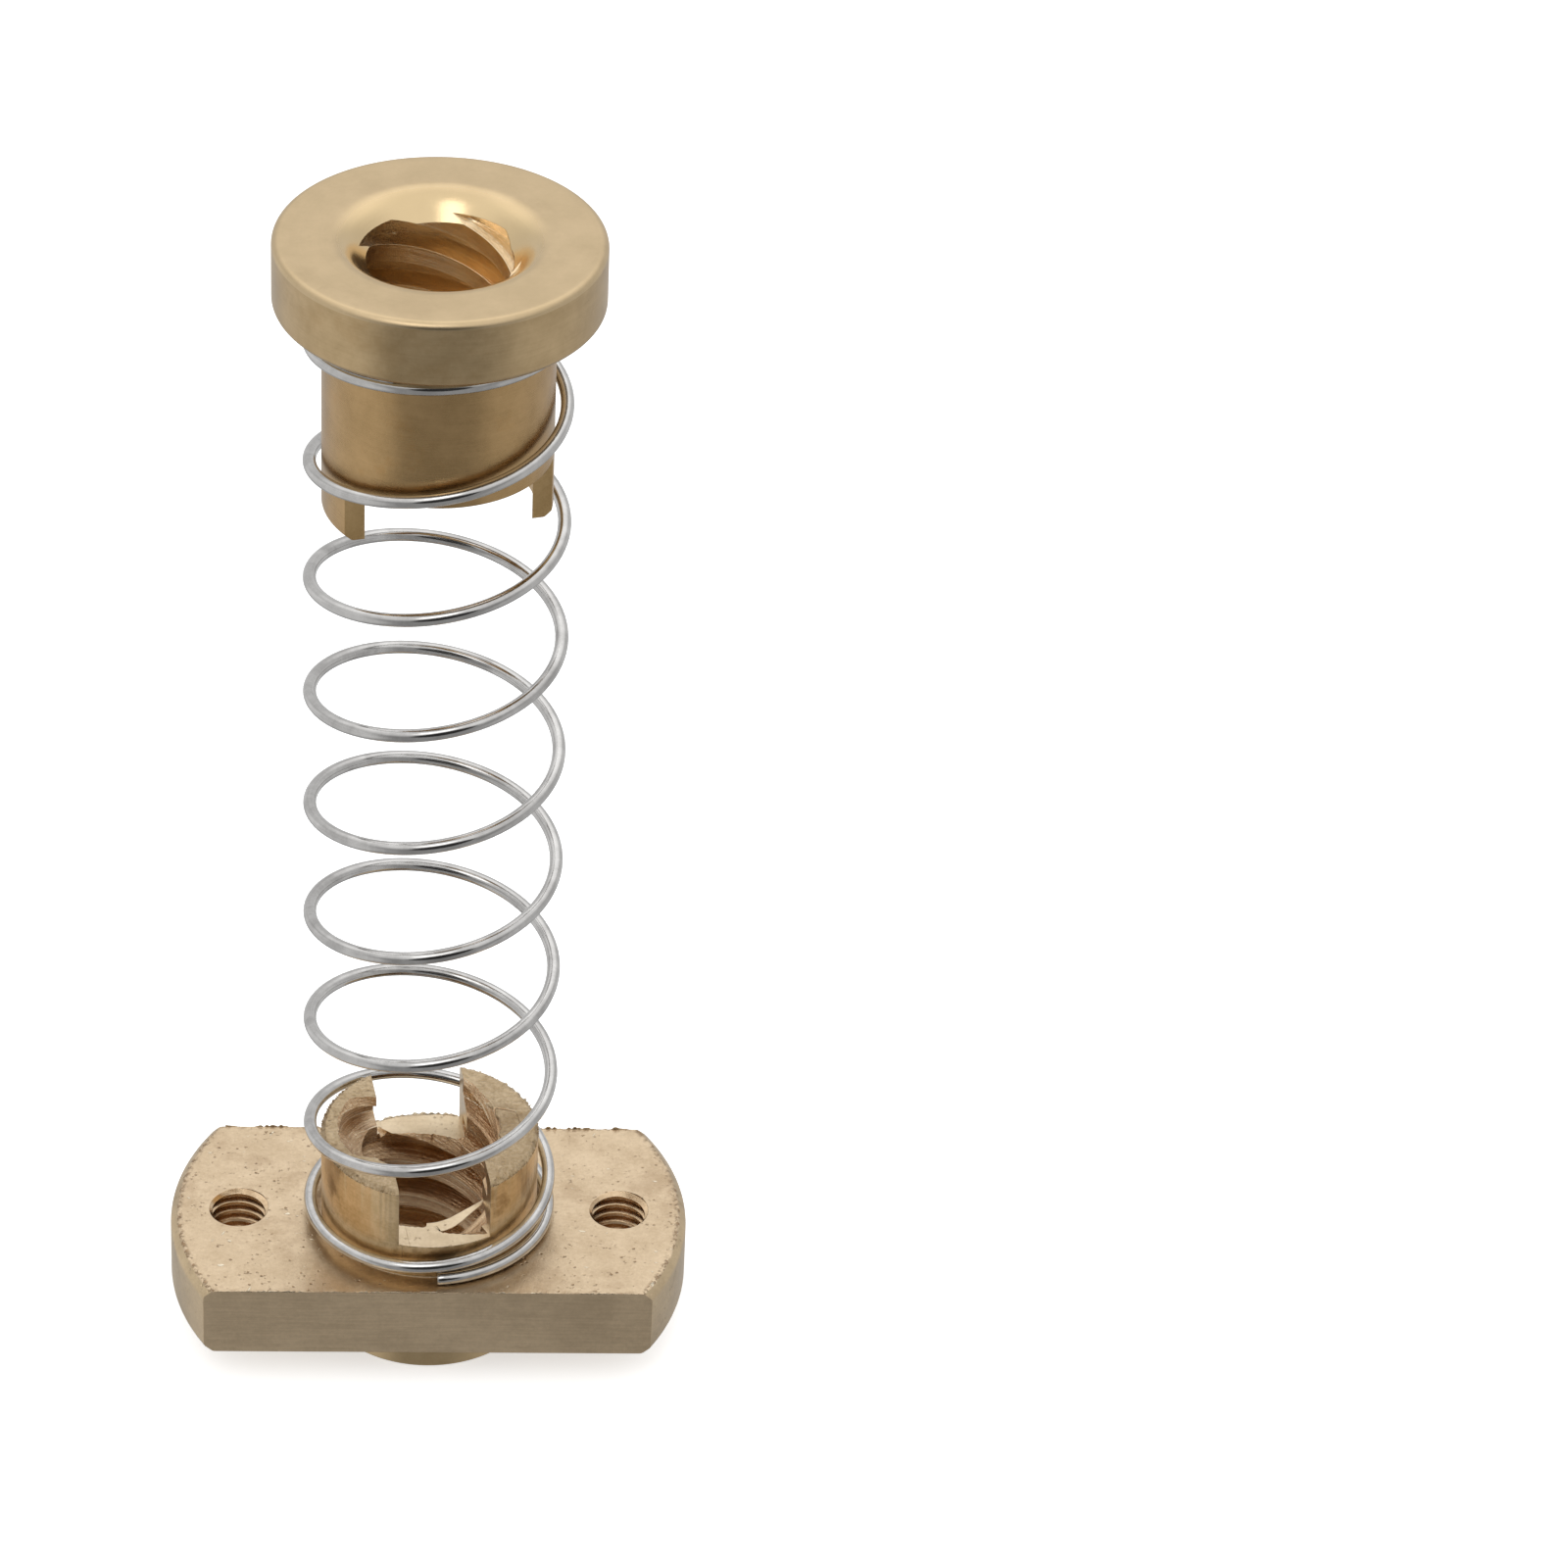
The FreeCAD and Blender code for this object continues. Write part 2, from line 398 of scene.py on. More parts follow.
class Finish(Enum):
    """The surfaces of the three pieces."""

    FACE = MetalFinish("brass_face", (0.78, 0.62, 0.43), (0.58, 0.44, 0.285), (0.32, 0.20, 0.11),
                       pit_share=0.85, stain_share=0.26, scratch_and_glint_share=0.8, grain_depth=0.008,
                       worn_radius=11.86, worn_half_width=6.25)
    RIM = MetalFinish("brass_rim", (0.71, 0.555, 0.35), (0.54, 0.41, 0.255), (0.30, 0.22, 0.13),
                      grain=Grain.ROUND, pit_share=0.3)
    MILLED = MetalFinish("brass_milled_flat", (0.83, 0.65, 0.435), (0.65, 0.50, 0.325), (0.40, 0.30, 0.19),
                         flat=True, roughness=0.40, grain=Grain.ALONG_X, grain_tint=0.6, grain_depth=0.010,
                         cloud_count=0.4, stain_share=0.2)
    HUB = MetalFinish("brass_hub_wall", (0.84, 0.63, 0.38), (0.54, 0.38, 0.19), (0.26, 0.15, 0.06),
                      stain_share=0.6, grain=Grain.ROUND, grain_depth=0.006, mottle=0.6)
    LUG_TOP = MetalFinish("brass_lug_top", (0.70, 0.55, 0.36), (0.40, 0.28, 0.15), (0.22, 0.13, 0.06),
                          roughness=0.30, pit_share=0.6, grain_count=4.0, grain_depth=0.06, mottle=1.3)
    SLOT = MetalFinish("brass_slot", (0.84, 0.69, 0.49), (0.66, 0.52, 0.34), (0.36, 0.24, 0.13),
                       grain=Grain.ALONG_X, grain_tint=0.3, pit_share=0.3, stain_share=0.15, flat=True)
    THREAD = MetalFinish("brass_lead_thread", (0.90, 0.69, 0.45), (0.56, 0.36, 0.20), (0.34, 0.18, 0.08),
                         roughness=0.20, grain=Grain.HELICAL, grain_count=3.0, grain_tint=1.0,
                         grain_depth=0.07, mottle=0.25, painted_glint_line_share=0.9)
    GOLD_THREAD = MetalFinish("brass_follower_thread", (1.0, 0.80, 0.52), (0.84, 0.62, 0.37),
                              (0.50, 0.31, 0.15), roughness=0.24, grain=Grain.HELICAL, grain_count=2.2,
                              grain_depth=0.03, mottle=0.2, stain_share=0.1, painted_glint_line_share=0.4)
    TAP = MetalFinish("brass_screw_thread", (0.84, 0.64, 0.42), (0.60, 0.42, 0.25), (0.30, 0.17, 0.08),
                      roughness=0.2)
    # Bright burr finish: the burrs are real torn edges, and their light colour is painted highlight.
    BURR = MetalFinish("brass_lit_burr_painted_highlight", (1.0, 0.90, 0.70), (0.60, 0.46, 0.30), (0.20, 0.12, 0.06),
                       roughness=0.25, grain_count=7.0, grain_depth=0.03, mottle=1.6)
    # Darker copy of the burr finish for the back edge's burr: painted shade.
    SHADED_BURR = MetalFinish("brass_shaded_burr_painted_shade", (0.52, 0.38, 0.22), (0.22, 0.14, 0.08), (0.12, 0.07, 0.04),
                            roughness=0.35, grain_count=7.0, grain_depth=0.03, mottle=1.6)
    TURNED = MetalFinish("brass_turned", (0.69, 0.53, 0.325), (0.59, 0.45, 0.265), (0.45, 0.33, 0.19),
                         roughness=0.34, grain=Grain.ROUND, grain_tint=0.15, grain_depth=0.003,
                         stain_share=0.15, mottle=0.25, polished_radius=4.3)
    SIDE = MetalFinish("brass_turned_side", (0.64, 0.475, 0.27), (0.46, 0.33, 0.175), (0.42, 0.27, 0.12),
                       roughness=0.30, grain=Grain.ROUND, stain_share=0.3, mottle=0.25)
    # Darker, more orange copy of the turned side for the barrel under the flange: painted shade.
    SHADED_BARREL = MetalFinish("brass_barrel_painted_shade", (0.58, 0.385, 0.185), (0.41, 0.265, 0.12), (0.50, 0.28, 0.10),
                         roughness=0.28, grain=Grain.ROUND, mottle=0.3)
    TAB = MetalFinish("brass_tab_cut", (0.74, 0.51, 0.25), (0.54, 0.35, 0.15), (0.36, 0.22, 0.09),
                      roughness=0.30, mottle=0.4)
    STEEL = MetalFinish("spring_steel", (0.72, 0.71, 0.695), (0.45, 0.44, 0.43), (0.24, 0.23, 0.22),
                        roughness=0.10, roughness_spread=0.06, grain=Grain.DRAWN, grain_depth=0.001,
                        grain_tint=0.3, stain_share=0.25, mottle=0.3, lead=5.96)


@dataclass
class Skin:
    """A closed surface: its points in millimetres and its faces, turned outwards."""

    points: Array
    quads: Array
    triangles: Array

    @classmethod
    def stacked(cls, rings: Array) -> "Skin":
        """Closes a stack of rings into a skin.

        Point (i, j) of the grid joins (i, j + 1), round to the first, and (i + 1, j); the first and
        last rings are closed by fans from their middles.

        Args:
            rings: Points as (ring, place on the ring, XYZ), where a ring runs counterclockwise
                about the way that the stack goes.

        Returns:
            The closed skin.
        """
        count, size = rings.shape[:2]
        low = np.arange(count - 1)[:, None] * size
        here = np.arange(size)[None, :]
        after = (here + 1) % size
        quads = np.stack([low + here, low + after, low + size + after, low + size + here], axis=-1)
        first, last = count * size, count * size + 1
        here, after = here[0], after[0]
        top = (count - 1) * size
        bottom_fan = np.stack([np.full(size, first), after, here], axis=-1)
        top_fan = np.stack([np.full(size, last), top + here, top + after], axis=-1)
        points = np.concatenate([rings.reshape(-1, 3), rings[0].mean(0)[None], rings[-1].mean(0)[None]])
        return cls(points, quads.reshape(-1, 4), np.concatenate([bottom_fan, top_fan]))

    def centres(self) -> Array:
        """The middle of each face, quads first."""
        return np.concatenate([self.points[self.quads].mean(1), self.points[self.triangles].mean(1)])

    def solid(self, name: str, finishes: list[Finish], zones: Array | None = None) -> bpy.types.Object:
        """Puts the skin into a mesh object.

        Args:
            name: The object's name.
            finishes: The finishes that its faces may have.
            zones: Number of each face's finish; all faces have the first one without it.

        Returns:
            The object, still in millimetres.
        """
        mesh = bpy.data.meshes.new(name)
        mesh.from_pydata(self.points.tolist(), [], self.quads.tolist() + self.triangles.tolist())
        for finish in finishes:
            mesh.materials.append(paint(finish))
        if zones is not None:
            mesh.polygons.foreach_set("material_index", zones.astype(np.int32))
        mesh.update()
        made = bpy.data.objects.new(name, mesh)
        bpy.context.scene.collection.objects.link(made)
        return made


@cache
def paint(finish: Finish) -> bpy.types.Material:
    """The material of a finish, which is made once."""
    return finish.value.build()


@dataclass(frozen=True)
class Waves:
    """Uneven edge noise: a sum of cosines of whole multiples of an angle, each with its own shift.

    The seed says which shifts are drawn, and the size is about the sum's spread.
    """

    size: float
    slowest: int
    fastest: int
    seed: int

    def at(self, angle: Array, weight: Array | float = 1.0) -> Array:
        """The noise at some angles.

        Args:
            angle: Where it is wanted, in radians.
            weight: How much of it each point gets.

        Returns:
            Values about 0.
        """
        counts = np.arange(self.slowest, self.fastest + 1)
        shifts = np.random.default_rng(self.seed).uniform(0, TURN, len(counts))
        total = np.cos(np.multiply.outer(angle, counts) + shifts).sum(-1)
        return weight * self.size * (total / math.sqrt(len(counts) / 2))


def fading(distance: Array, reach: float) -> Array:
    """A weight that is 1 at no distance d and fades to both sides as e to the power -(d / reach)^2."""
    return np.exp(-((distance / reach) ** 2))


def rounded(corners: list[tuple[float, float, float]], steps: int = 5) -> Array:
    """An open outline with its corners rounded.

    Each corner c becomes the curve (1-t)^2 a + 2 t (1-t) c + t^2 b, where a and b lie before and
    after it at the corner's own distance.

    Args:
        corners: Radius, height and rounding distance of each corner.
        steps: Points on each rounded corner.

    Returns:
        Points as (radius, height).
    """
    table = np.array(corners, float)
    middle, reach = table[:, :2], table[:, 2]
    before = middle - np.roll(middle, 1, axis=0)
    after = np.roll(middle, -1, axis=0) - middle
    before[0], after[-1] = after[0], before[-1]
    before /= np.linalg.norm(before, axis=1, keepdims=True)
    after /= np.linalg.norm(after, axis=1, keepdims=True)
    start, end = middle - before * reach[:, None], middle + after * reach[:, None]
    t = np.linspace(0, 1, steps)[None, :, None]
    curve = (1 - t) ** 2 * start[:, None] + 2 * t * (1 - t) * middle[:, None] + t**2 * end[:, None]
    kept = [curve[i] if reach[i] > 0 else middle[i : i + 1] for i in range(len(corners))]
    return np.concatenate(kept)


def turned_rings(outline: Array, segments: int) -> Array:
    """Rings round the Z axis.

    Point (i, j) is (r cos a, r sin a, h) with the outline's radius r and height h at i and the
    angle a = 2 pi j / segments.

    Args:
        outline: Points as (radius, height), from the bottom up along the outside.
        segments: Points on each ring.

    Returns:
        The rings' points.
    """
    angle = np.linspace(0, TURN, segments, endpoint=False)
    radius, height = outline[:, 0, None], outline[:, 1, None]
    return np.stack([radius * np.cos(angle), radius * np.sin(angle), height + 0 * angle], axis=-1)


def arc_rings(turn: Array, corners: tuple[tuple[Array | float, Array | float], ...]) -> Array:
    """A bar bent round the Z axis: ring i has each corner (r cos a, r sin a, h) at its own angle a."""
    lines = [np.column_stack([r * np.cos(turn), r * np.sin(turn), h + 0 * turn]) for r, h in corners]
    return np.stack(lines, axis=1)


def prism_rings(corners: Array, low: float, high: float) -> Array:
    """Two rings that carry a flat outline from one height to another."""
    rings = [np.column_stack([corners, np.full(len(corners), z)]) for z in (low, high)]
    return np.stack(rings)


def strip(near: float, far: float, half_length: float, angle: float, pieces: int = 1) -> Array:
    """Outline of a rectangle between two distances from the axis.

    Args:
        near: Distance of the near long side, across the strip.
        far: Distance of the far long side, across the strip.
        half_length: Half of the strip's length.
        angle: Direction of the strip, in degrees from X.
        pieces: How many pieces each long side is made of.

    Returns:
        The points, counterclockwise.
    """
    along = np.linspace(-half_length, half_length, pieces + 1)
    local = np.column_stack([np.append(along, along[::-1]), np.repeat([near, far], pieces + 1)])
    c, s = math.cos(math.radians(angle)), math.sin(math.radians(angle))
    return local @ np.array([(c, s), (-s, c)])


@dataclass(frozen=True)
class Thread:
    """An internal thread: what a tap of that form takes out of a bore."""

    lead: float
    starts: int
    crest_radius: float
    root_radius: float
    pitch_radius: float
    flank: float
    first_start: float = 0.0
    steps_per_turn: int = 72
    widest_step: float = math.radians(6)
    fade_start: float = 1000.0
    fade_length: float = 1.0
    faded_radius: float = 0.0

    def half_angle(self, radius: float) -> float:
        """Half of a groove's width at a radius, as an angle round the axis.

        The groove is half a pitch wide at the pitch radius and narrows outwards by twice the
        tangent of the flank's angle; a width w along the axis is an angle of 2 pi w / lead.

        Args:
            radius: The radius.

        Returns:
            The angle, in radians.
        """
        pitch = self.lead / self.starts
        width = pitch / 2 - 2 * (radius - self.pitch_radius) * math.tan(math.radians(self.flank))
        return math.pi * width / self.lead

    def section(self) -> tuple[Array, Array]:
        """The cut across the axis: one groove from the middle of a crest to the next, once a start.

        Returns:
            Angles in radians and radii of its points, once round.
        """
        share = math.pi / self.starts
        crest, root = self.half_angle(self.crest_radius), self.half_angle(self.root_radius)
        inner, outer = self.crest_radius, self.root_radius
        knots = np.array([-share, -crest, -root, root, crest, share])
        radii = np.array([inner, inner, outer, outer, inner, inner])
        counts = np.maximum(2, np.ceil(np.diff(knots) / self.widest_step).astype(int))
        parts = [np.linspace(a, b, n, endpoint=False) for a, b, n in zip(knots, knots[1:], counts)]
        angles = np.concatenate(parts)
        turns = TURN * np.arange(self.starts)[:, None] / self.starts
        return (turns + angles).ravel(), np.tile(np.interp(angles, knots, radii), self.starts)

    def rings(self, low: float, high: float) -> Array:
        """The tap between two heights: its section turns once in each lead of height.

        From the fade's start on, the grooves get shallower down to the faded radius.

        Args:
            low: Lower end.
            high: Upper end.

        Returns:
            The rings' points.
        """
        count = math.ceil((high - low) / self.lead * self.steps_per_turn) + 1
        height = np.linspace(low, high, count)[:, None]
        section, radius = self.section()
        angle = math.radians(self.first_start) + section + TURN * height / self.lead
        faded = np.clip((height - self.fade_start) / self.fade_length, 0.0, 1.0)
        radius = np.minimum(radius, self.root_radius + (self.faded_radius - self.root_radius) * faded)
        return np.stack([radius * np.cos(angle), radius * np.sin(angle), height + 0 * angle], axis=-1)


LEAD_THREAD = Thread(lead=8.0, starts=4, crest_radius=3.2, root_radius=4.25, pitch_radius=3.5, flank=15.0)
SCREW_THREAD = Thread(lead=0.5, starts=1, crest_radius=1.25, root_radius=1.5, pitch_radius=1.338,
                      flank=30.0, steps_per_turn=32)


class Workpiece:
    """A solid on the bench. Each cut leaves the cutter's finish on the faces that it makes."""

    def __init__(self, body: bpy.types.Object) -> None:
        """Takes up the blank."""
        self.body = body

    def _combine(self, other: bpy.types.Object, operation: str) -> None:
        """Applies one Boolean operation to the body and clears the other solid away.

        Args:
            other: The cutter or the added solid.
            operation: DIFFERENCE or UNION.
        """
        step = self.body.modifiers.new("step", "BOOLEAN")
        step.solver = "MANIFOLD"
        step.material_mode = "TRANSFER"
        step.operation = operation
        step.object = other
        graph = bpy.context.evaluated_depsgraph_get()
        mesh = bpy.data.meshes.new_from_object(self.body.evaluated_get(graph))
        self.body.modifiers.clear()
        self.body.data = mesh
        bpy.data.objects.remove(other)

    def cut(self, rings: Array, finish: Finish) -> None:
        """Takes away what lies inside a stack of rings."""
        self._combine(Skin.stacked(rings).solid("cutter", [finish]), "DIFFERENCE")

    def add(self, rings: Array, finish: Finish) -> None:
        """Joins what lies inside a stack of rings to the body."""
        self._combine(Skin.stacked(rings).solid("added", [finish]), "UNION")

    def _part_finishes(self, mesh: bpy.types.Mesh) -> None:
        """Marks each edge between faces of two finishes as sharp, and shades the flat finishes flat.

        Args:
            mesh: The piece's mesh.
        """
        edge = np.empty(len(mesh.loops), np.int32)
        finish, size = np.empty((2, len(mesh.polygons)), np.int32)
        sharp = np.empty(len(mesh.edges), bool)
        mesh.loops.foreach_get("edge_index", edge)
        mesh.polygons.foreach_get("material_index", finish)
        mesh.polygons.foreach_get("loop_total", size)
        mesh.edges.foreach_get("use_edge_sharp", sharp)
        low, high = np.full(len(sharp), len(Finish)), np.full(len(sharp), -1)
        np.minimum.at(low, edge, np.repeat(finish, size))
        np.maximum.at(high, edge, np.repeat(finish, size))
        mesh.edges.foreach_set("use_edge_sharp", sharp | (low < high))
        flat = {each.value.name for each in Finish if each.value.flat}
        smooth = np.array([material.name not in flat for material in mesh.materials])
        mesh.polygons.foreach_set("use_smooth", smooth[finish])

    def finished(self) -> bpy.types.Object:
        """Scales the mesh to metres and shades it smooth between its sharp edges.

        Returns:
            The finished piece.
        """
        mesh = self.body.data
        mesh.name = self.body.name
        mesh.transform(Matrix.Scale(MM, 4))
        mesh.shade_smooth()
        mesh.set_sharp_from_angle(angle=SHARP_EDGE)
        self._part_finishes(mesh)
        even = self.body.modifiers.new("even_shading", "WEIGHTED_NORMAL")
        even.keep_sharp = True
        return self.body


@dataclass(frozen=True)
class Burr:
    """A torn edge: a thin three-sided fin whose tip rises and falls along the edge.

    The tip's height is a weight times the sum of a mean and waves, held between a least and a most.
    It leans outwards by a share of its height. Its foot has a width, lies a share of that below the
    edge, and reaches outwards by another share.
    """

    points: int
    mean: float
    spread: float
    slowest: int
    fastest: int
    least: float
    most: float
    lean: float
    width: float = 0.05
    sunk: float = 0.8
    outer: float = 0.15

    def rings(self, path: Array, out: Array, angle: Array, seed: int, weight: Array | float = 1.0) -> Array:
        """The fin's rings, each with a point inwards, a point outwards and the tip.

        Args:
            path: The edge's points.
            out: Direction outwards from the edge at each point.
            angle: Where the waves are read at each point, in radians.
            seed: Which waves are drawn.
            weight: What the height is multiplied by.

        Returns:
            The rings' points.
        """
        waves = Waves(self.spread, self.slowest, self.fastest, seed).at(angle)
        height = np.clip(weight * (waves + self.mean), self.least, self.most)
        up = np.array([0.0, 0.0, 1.0])
        foot = path - up * self.width * self.sunk
        tip = path + up * height[:, None] + out * (height * self.lean)[:, None]
        inner, outer = foot - out * self.width, foot - out * self.width * self.outer
        return np.stack([inner, outer, tip], axis=1)


@dataclass
class MainNut:
    """The flanged nut: a turned blank with two flats, two slots across its hub and three threads.

    Each step of its making changes the workpiece that it holds.
    """

    name: str = "main_nut_brass"
    flange_radius: float = 12.2
    flange_half_width: float = 6.25
    flange_top: float = 3.6
    rim_chamfer: float = 0.36
    hub_radius: float = 5.1
    hub_top: float = 8.5
    hub_chamfer: float = 0.2
    hub_mouth_radius: float = 3.4
    slot_half_width: float = 2.15
    slot_floor: float = 5.4
    slot_angle: float = 99.0
    slot_step: float = 0.03
    slot_step_width: float = 0.5
    boss_bottom: float = -1.85
    boss_chamfer: float = 0.1
    boss_mouth_radius: float = 4.4
    screw_offset: float = 9.0
    screw_mouth_radius: float = 1.4
    segments: int = 540
    margin: float = 1.0
    flat_pieces: int = 80
    slot_pieces: int = 60
    flange_margins: tuple[float, float] = (0.3, 0.6)
    screw_margin: float = 0.4
    thread: Thread = replace(LEAD_THREAD, first_start=72.0)
    lip_drop: float = 0.02
    lip_sweep: float = 140.0
    lip_burr: Burr = Burr(700, 0.012, 0.030, 12, 240, least=-0.03, most=0.085, lean=0.9)
    slot_burr: Burr = Burr(240, 0.010, 0.022, 8, 110, least=-0.02, most=0.07, lean=1.6, width=0.06)
    slot_burr_share: float = 0.97
    edge_burr: Burr = Burr(900, 0.9, 0.6, 8, 80, least=-0.01, most=0.13, lean=0.5)
    edge_burr_inset: float = 0.25
    edge_per_radian: float = 3.0
    low_edge_bulge: Waves = Waves(0.020, 20, 200, 12)
    rim_bulge: Waves = Waves(0.025, 20, 190, 13)
    high_edge_bulge: Waves = Waves(0.030, 12, 160, 14)
    low_edge_rise: Waves = Waves(0.035, 12, 180, 11)
    broken_edge: Waves = Waves(0.02, 15, 110, 51)
    broken_points: int = 480
    broken_inset: float = 0.05
    folded_edge: Waves = Waves(0.03, 8, 60, 61)
    arc_points: int = 60
    work: Workpiece = field(init=False)

    def blank_rings(self) -> Array:
        """The turned blank, with uneven edges on its hub and its rim.

        The edges' points move out and up with the angle by sums of waves, which fade away from each
        edge; the rows close beside it hold the rest in place.

        Returns:
            The rings' points.
        """
        rim, hub, boss = self.flange_radius, self.hub_radius, self.hub_radius
        cut, filed = self.rim_chamfer, self.hub_chamfer
        close, low_reach, high_reach, rim_reach = 0.1, 0.06, 0.05, 0.10
        outline = rounded([
            (boss - self.boss_chamfer - 0.2, self.boss_bottom, 0.0),
            (boss - self.boss_chamfer, self.boss_bottom, 0.04),
            (boss, self.boss_bottom + self.boss_chamfer, 0.04),
            (boss, 0.0, 0.03),
            (rim - cut, 0.0, 0.10),
            (rim, cut, 0.12),
            (rim, self.flange_top - cut, 0.14),
            (rim - cut, self.flange_top, 0.10),
            (rim - cut - 0.25, self.flange_top, 0.0),
            (hub + 0.5, self.flange_top, 0.0),
            (hub, self.flange_top, 0.06),
            (hub, self.hub_top - filed - 0.15, 0.0),
            (hub, self.hub_top - filed, 0.04),
            (hub - filed, self.hub_top, 0.04),
            (hub - filed - 0.12, self.hub_top, 0.0),
        ])
        rings = turned_rings(outline, self.segments)
        angle = np.linspace(0, TURN, self.segments, endpoint=False)
        radius, height = outline[:, 0, None], outline[:, 1, None]
        on_hub = radius < hub + close
        low_edge = fading(height - self.hub_top + filed, low_reach) * on_hub
        high_edge = fading(height - self.hub_top, high_reach) * on_hub * (radius > hub - filed - close)
        rim_edge = fading(height - self.flange_top, rim_reach) * (abs(radius - rim + cut) < 2 * close)
        bulge = self.low_edge_bulge.at(angle, low_edge) + self.rim_bulge.at(angle, rim_edge)
        bulge = bulge + self.high_edge_bulge.at(angle, high_edge)
        rings[..., 0] += bulge * np.cos(angle)
        rings[..., 1] += bulge * np.sin(angle)
        rings[..., 2] += self.low_edge_rise.at(angle, low_edge)
        return rings

    def blank_zones(self, skin: Skin) -> tuple[list[Finish], Array]:
        """Which finish each face of the blank has, by where its middle lies.

        Args:
            skin: The blank.

        Returns:
            The finishes, and for each face the number of its own.
        """
        centre = skin.centres()
        radius, height = np.hypot(centre[:, 0], centre[:, 1]), centre[:, 2]
        rules = {
            Finish.LUG_TOP: height > self.hub_top - self.hub_chamfer - 0.06,
            Finish.HUB: height > self.flange_top + 0.04,
            Finish.SIDE: height < -0.02,
            Finish.RIM: (radius > self.flange_radius - 0.3) | (height < 0.1),
        }
        finishes = [Finish.FACE, Finish.RIM, Finish.HUB, Finish.LUG_TOP, Finish.SIDE]
        return finishes, np.select(list(rules.values()), [finishes.index(each) for each in rules], 0)

    def circle(self, radius: Array | float, angle: Array, height: float) -> tuple[Array, Array]:
        """Points (r cos a, r sin a, h) round the axis, and the directions outwards at them.

        Args:
            radius: Distance r from the axis, as one number or as one for each angle.
            angle: The angles a, in radians.
            height: Their height h.

        Returns:
            The points and the directions.
        """
        out = np.column_stack([np.cos(angle), np.sin(angle), 0 * angle])
        path = out * np.broadcast_to(radius, angle.shape)[:, None]
        path[:, 2] = height
        return path, out

    def lips(self) -> None:
        """Raises the torn lip under the chamfer of the hub's two lugs."""
        for start, seed in ((20.0, 41), (200.0, 42)):
            sweep = np.linspace(0, self.lip_sweep, self.lip_burr.points)
            angle = np.radians(self.slot_angle + start + sweep)
            path, out = self.circle(self.hub_radius, angle, self.hub_top - self.hub_chamfer - self.lip_drop)
            # The lip takes the bright burr finish, whose light colour is painted highlight.
            self.work.add(self.lip_burr.rings(path, out, angle, seed), Finish.BURR)

    def slot_burrs(self) -> None:
        """Raises burrs on the outer edges of the slots' floors."""
        reach = math.asin(self.slot_half_width / self.hub_radius) * self.slot_burr_share
        for start, seed in ((0.0, 31), (math.pi, 32)):
            sweep = np.linspace(-reach, reach, self.slot_burr.points)
            angle = math.radians(self.slot_angle) + start + sweep
            path, out = self.circle(self.hub_radius, angle, self.slot_floor)
            # The slot burrs take the bright burr finish, whose light colour is painted highlight.
            self.work.add(self.slot_burr.rings(path, out, angle, seed), Finish.BURR)

    def edge_burrs(self) -> None:
        """Raises thin burrs on the flange's long edges: more of them where slower waves are high."""
        half = math.sqrt((self.flange_radius - self.rim_chamfer) ** 2 - self.flange_half_width**2)
        half = half - self.edge_burr_inset
        along = np.linspace(-half, half, self.edge_burr.points)
        angle = along / self.edge_per_radian
        # The front burr takes the bright finish, a painted highlight; the back burr takes its dark copy,
        # painted shade.
        for side, seed, tall, lean, finish in (
            (-1.0, 21, 0.070, 0.5, Finish.BURR),
            (1.0, 22, 0.065, 0.1, Finish.SHADED_BURR),
        ):
            y, z = side * self.flange_half_width, self.flange_top
            path = np.column_stack([along, 0 * along + y, 0 * along + z])
            out = np.tile([0.0, side, 0.0], (len(along), 1))
            swell = np.clip(Waves(0.5, 1, 12, seed + 4).at(angle) + 0.5, 0.0, 1.5)
            burr = replace(self.edge_burr, lean=lean)
            self.work.add(burr.rings(path, out, angle, seed, tall * swell), finish)

    def break_edge(self, table: list[tuple[float, float]], height: float, depth: float) -> None:
        """Breaks the thin ends of the thread's crests away below a face.

        The cut reaches out to the table's radius b at the face, and at a depth d below it to
        c + (b - c) (1 - d / e), with the whole depth e and with c just inside the crest.

        Args:
            table: Angle and radius of points on the broken edge, in degrees, once round.
            height: The face's height.
            depth: How far down the break goes.
        """
        turn, broken = np.array(table).T
        angle = np.linspace(0, TURN, self.broken_points, endpoint=False)
        least = self.thread.crest_radius - self.broken_inset
        reach = np.interp(np.degrees(angle), turn, broken, period=360.0)
        reach = np.where(reach > least, reach + self.broken_edge.at(angle), least)
        rings = []
        for share in (1.0, 0.6, 0.3, 0.0, -0.3):
            radius = least + np.maximum(reach - least, 0.0) * (1 - max(share, 0.0))
            rings.append(self.circle(radius, angle, height - share * depth)[0])
        self.work.cut(np.stack(rings), Finish.THREAD)

